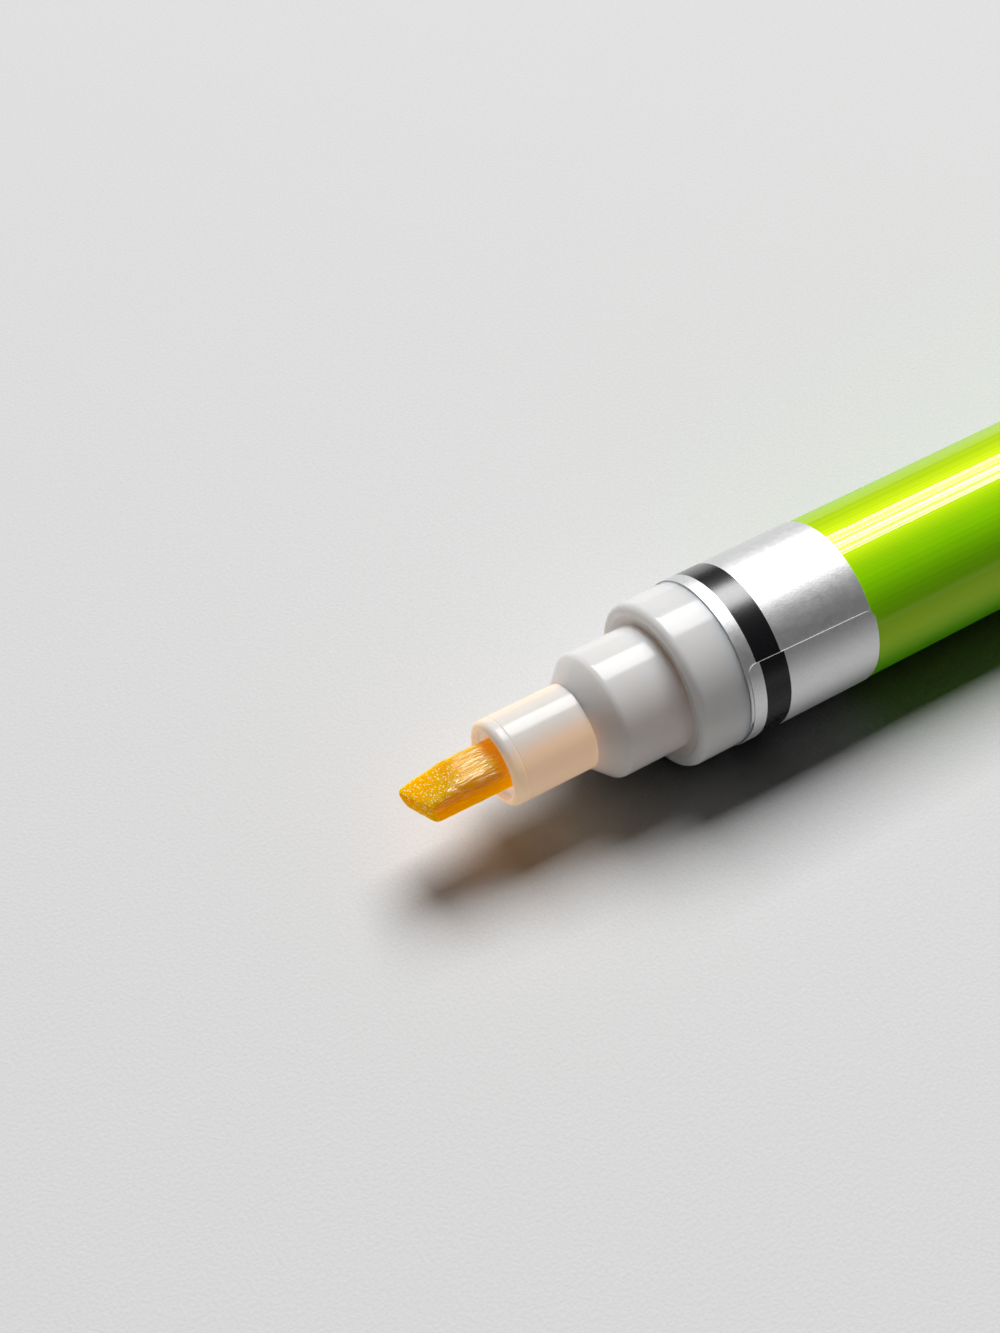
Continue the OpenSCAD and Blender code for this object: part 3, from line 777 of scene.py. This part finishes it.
class MARKER_OT_nib(bpy.types.Operator):
    """Cuts the chisel nib from a fibre rod and roughens it"""
    bl_idname = "marker.nib"
    bl_label = "Nib"

    def cut(self, bm, place, normal):
        """Cuts off what lies outside a plane and closes the cut with the second material."""
        made = bisect(bm, place, normal, clear_outer=True)
        rim = [g for g in made["geom_cut"] if isinstance(g, bmesh.types.BMEdge)]
        for face in bmesh.ops.contextual_create(bm, geom=rim)["faces"]:
            face.material_index = 1

    def bevel_plane(self, s):
        """A point of the bevel and the way that it faces."""
        place = Vector((s.bevel_len, -s.nib_w / 2, s.nib_t / 2))
        return place, Vector((-math.tan(s.bevel_slope), math.tan(s.bevel_lean), 1))

    def shape_tip(self, bm, s):
        """Cuts the bevel, the slanted blunt end and the end's round far corner."""
        slope, lean = math.tan(s.bevel_slope), math.tan(s.bevel_lean)
        corner_z = s.nib_t / 2 - s.bevel_len * slope - s.nib_w * lean
        edge_lean = math.atan(math.tan(s.end_under) / math.cos(s.end_slant))
        edge_slant = math.asin(math.sin(s.end_slant) * math.cos(s.end_under))
        reach = s.tip_r * math.tan(math.pi / 4 + edge_slant / 2)
        corner_x = corner_z * math.tan(edge_lean) - (reach - s.tip_r) / math.cos(edge_lean)
        side = Vector((0, 1, 0))
        slanted = Matrix.Rotation(s.end_slant, 3, "Z") @ Matrix.Rotation(-s.end_under, 3, "Y")
        end = slanted @ Vector((-1, 0, 0))
        along = Vector((math.cos(edge_lean), 0, math.sin(edge_lean)))
        centre = Vector((corner_x, s.nib_w / 2, 0)) + along * reach - side * s.tip_r
        self.cut(bm, *self.bevel_plane(s))
        for k in range(s.tip_cuts):
            normal = end.slerp(side, k / s.tip_cuts)
            self.cut(bm, centre + normal * s.tip_r, normal)

    def fray(self, bm, s):
        """Lets the speckles of the bevel run out unevenly over its edges."""
        place, normal = self.bevel_plane(s)
        normal.normalize()
        for face in bm.faces:
            middle = face.calc_center_median()
            if (place - middle).dot(normal) < s.fray * (0.5 + noise.noise(middle * FRAY_WAVES)):
                face.material_index = 1

    def slice(self, bm, axis, low, high, step):
        """Adds loops across the tip, so that its surface can be roughened."""
        normal = Vector((0, 0, 0))
        normal[axis] = 1
        for k in range(1, int((high - low) / step)):
            bisect(bm, normal * (low + k * step), normal)

    def wear(self, bm, s):
        """Rubs down the edges of the tip, most of all near its end."""
        for k in range(s.tip_wear):
            reach = s.bevel_len * (1.5 - 0.7 * k / s.tip_wear)
            bmesh.ops.smooth_vert(bm, verts=[v for v in bm.verts if v.co.x < reach], factor=0.5,
                                  use_axis_x=True, use_axis_y=True, use_axis_z=True)

    def roughen(self, bm, s):
        """Moves the points by fibres along the nib and by lumps."""
        bm.normal_update()
        moves = []
        for v in bm.verts:
            grain = noise.noise(v.co * GRAIN_WAVES)
            lump = noise.noise(v.co * LUMP_WAVES)
            moves.append((v, v.normal * s.fibre_rough * (0.6 * grain + 0.5 * lump - 0.5)))
        for v, move in moves:
            v.co += move

    def execute(self, context):
        s, c = context.scene.marker_sizes, context.scene.marker_colours
        rod = NIB_HIGH.x - TIP_X
        bm = bmesh.new()
        bmesh.ops.create_cube(bm, size=1)
        bmesh.ops.scale(bm, vec=(rod, s.nib_w, s.nib_t), verts=bm.verts)
        bmesh.ops.translate(bm, vec=(rod / 2, 0, 0), verts=bm.verts)
        long_edges = [e for e in bm.edges if abs((e.verts[0].co - e.verts[1].co).x) > rod / 2]
        bmesh.ops.bevel(bm, geom=long_edges, offset=s.nib_edge_r, affect="EDGES", segments=12, profile=0.5,
                        material=-1)
        self.shape_tip(bm, s)
        self.slice(bm, 0, 0, RIM_X - TIP_X + s.mouth_depth, s.fibre_cell)
        self.slice(bm, 1, -s.nib_w / 2, s.nib_w / 2, s.fibre_cell)
        self.slice(bm, 2, -s.nib_t / 2, s.nib_t / 2, s.fibre_cell)
        bmesh.ops.remove_doubles(bm, verts=bm.verts, dist=0.2 * s.fibre_cell)
        bmesh.ops.recalc_face_normals(bm, faces=bm.faces)
        self.fray(bm, s)
        self.wear(bm, s)
        self.roughen(bm, s)
        bmesh.ops.rotate(bm, matrix=Matrix.Rotation(-s.nib_roll, 3, "X"), verts=bm.verts)
        bmesh.ops.translate(bm, vec=(TIP_X, 0, AXIS_Z), verts=bm.verts)
        piece("fibre_nib", bm, "nib", "nib_fibre", [fibre_material(c), cut_material(c)], "nib", crease=50)
        return {"FINISHED"}


class MARKER_OT_valve(bpy.types.Operator):
    """Finishes the valve's pieces and winds its spring"""
    bl_idname = "marker.valve"
    bl_label = "Valve"

    def execute(self, context):
        s, c = context.scene.marker_sizes, context.scene.marker_colours
        dress("valve_seal", plastic_material(
            "black_rubber", c.rubber, 0.6, (0.1 * MM,) * 3, Specular_IOR_Level=0.3))
        dress("valve_stem", plastic_material(
            "natural_acetal", c.acetal, 0.3, (1.0 * MM,) * 3, Subsurface_Weight=0.2))
        dress("valve_case", plastic_material(
            "natural_case", c.clear, 0.3, (1.5 * MM,) * 3, Subsurface_Weight=0.3))
        start = SPRING_LOW.x + s.wire_r
        rise = (SPRING_HIGH.x - s.wire_r) - start
        bm = bmesh.new()
        wire = bmesh.ops.create_circle(bm, cap_ends=True, radius=s.wire_r, segments=s.wire_sides)["verts"]
        bmesh.ops.rotate(bm, matrix=Matrix.Rotation(math.pi / 2, 3, "X"), verts=wire)
        bmesh.ops.translate(bm, vec=(start, 0, AXIS_Z + s.coil_r), verts=wire)
        steps = s.coil_steps * s.turns
        bmesh.ops.spin(bm, geom=every(bm), cent=(0, 0, AXIS_Z), axis=(1, 0, 0), dvec=(rise / steps, 0, 0),
                       angle=math.tau * s.turns, steps=steps, use_duplicate=False)
        bmesh.ops.recalc_face_normals(bm, faces=bm.faces)
        steel = metal_material("drawn_wire", c.steel)
        coil = piece("valve_coil", bm, "housing", "spring_steel", [steel], "valve_spring")
        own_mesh(coil)
        return {"FINISHED"}


class MARKER_OT_stage(bpy.types.Operator):
    """Sets the floor, the lights and the camera"""
    bl_idname = "marker.stage"
    bl_label = "Studio"

    def floor(self, studio, tint):
        """A pale table top with a fine grain, and a painted shadow: an occlusion node darkens it close to the
        marker.
        """
        made, tree, shader = material("table_top", Specular_IOR_Level=0.25)
        finish = mottled(tree, grain=3200.0, cloud=60.0, rough=0.75, spread=0.1)
        grain = blended(tree, finish["Height"], shade(tint, 0.94), shade(tint, 1.06))
        # Painted shadow: the table top's colour darkens near the marker by occlusion.
        painted_contact_shadow = add(tree, "ShaderNodeAmbientOcclusion", {"Color": grain, "Distance": studio.painted_contact_shadow}, samples=4)
        feed(tree, shader, Base_Color=painted_contact_shadow.outputs["Color"], Roughness=finish["Roughness"],
             Normal=raised(tree, finish["Height"], 0.3, 0.1 * MM))
        bm = bmesh.new()
        bmesh.ops.create_grid(bm, x_segments=2, y_segments=2, size=studio.table)
        table = linked("floor", bm, [made])

    def softbox(self, studio):
        """A large soft lamp that leans over the marker from behind."""
        lamp = bpy.data.lights.new("softbox", "AREA")
        lamp.shape = "RECTANGLE"
        lamp.size = (studio.key_right - studio.key_left) * studio.key_far
        lamp.size_y = 2 * math.tan(studio.key_spread / 2) * studio.key_far
        lamp.energy = studio.key_power
        made = bpy.data.objects.new("softbox", lamp)
        made.rotation_euler = (-studio.key_lean, 0, 0)
        made.location = Vector((studio.key_left + studio.key_right, 0, 0)) * studio.key_far / 2
        made.location += made.rotation_euler.to_matrix() @ Vector((0, 0, studio.key_far))
        made.visible_camera = False
        bpy.context.scene.collection.objects.link(made)

    def sky(self, room):
        """A dim studio room."""
        world = bpy.data.worlds.new("studio")
        world.use_nodes = True
        backdrop = world.node_tree.nodes["Background"]
        backdrop.inputs["Color"].default_value = (1, 1, 1, 1)
        backdrop.inputs["Strength"].default_value = room
        bpy.context.scene.world = world

    def camera(self, studio, label_len):
        """The photograph's view."""
        lens = bpy.data.cameras.new("camera")
        lens.lens = studio.lens
        lens.clip_start = 5 * MM
        made = bpy.data.objects.new("camera", lens)
        made.rotation_euler = (math.pi / 2 - studio.elevation, 0, -studio.turn)
        right, up, back = made.rotation_euler.to_matrix().transposed()
        band = Vector((MOUTH_X + label_len, 0, AXIS_Z))
        made.location = band - studio.aim[0] * right - studio.aim[1] * up + studio.aim[2] * back
        bpy.context.scene.collection.objects.link(made)
        bpy.context.scene.camera = made

    def execute(self, context):
        scene = context.scene
        studio = scene.marker_studio
        scene.view_settings.view_transform = "Standard"
        self.floor(studio, scene.marker_colours.floor)
        self.softbox(studio)
        self.sky(studio.room)
        self.camera(studio, scene.marker_sizes.label_len)
        return {"FINISHED"}


STEPS = (MARKER_OT_barrel, MARKER_OT_label, MARKER_OT_front_section, MARKER_OT_collar, MARKER_OT_nib,
         MARKER_OT_valve, MARKER_OT_stage)


class MARKER_PT_panel(bpy.types.Panel):
    """Lists the marker's pieces"""
    bl_idname = "MARKER_PT_panel"
    bl_label = "Liquid marker"
    bl_space_type = "VIEW_3D"
    bl_region_type = "UI"
    bl_category = "Marker"

    def draw(self, context):
        for step in STEPS:
            self.layout.operator(step.bl_idname)


GROUPS = {"marker_sizes": MarkerSizes, "marker_colours": MarkerColours, "marker_studio": MarkerStudio}


def register():
    for kind in (*GROUPS.values(), *STEPS, MARKER_PT_panel):
        bpy.utils.register_class(kind)
    for name, kind in GROUPS.items():
        setattr(bpy.types.Scene, name, PointerProperty(type=kind))


def unregister():
    for name in GROUPS:
        delattr(bpy.types.Scene, name)
    for kind in reversed((*GROUPS.values(), *STEPS, MARKER_PT_panel)):
        bpy.utils.unregister_class(kind)


def main():
    register()
    bpy.ops.marker.barrel()
    bpy.ops.marker.label()
    bpy.ops.marker.front_section()
    bpy.ops.marker.collar()
    bpy.ops.marker.nib()
    bpy.ops.marker.valve()
    bpy.ops.marker.stage()


if __name__ == "__main__":
    main()
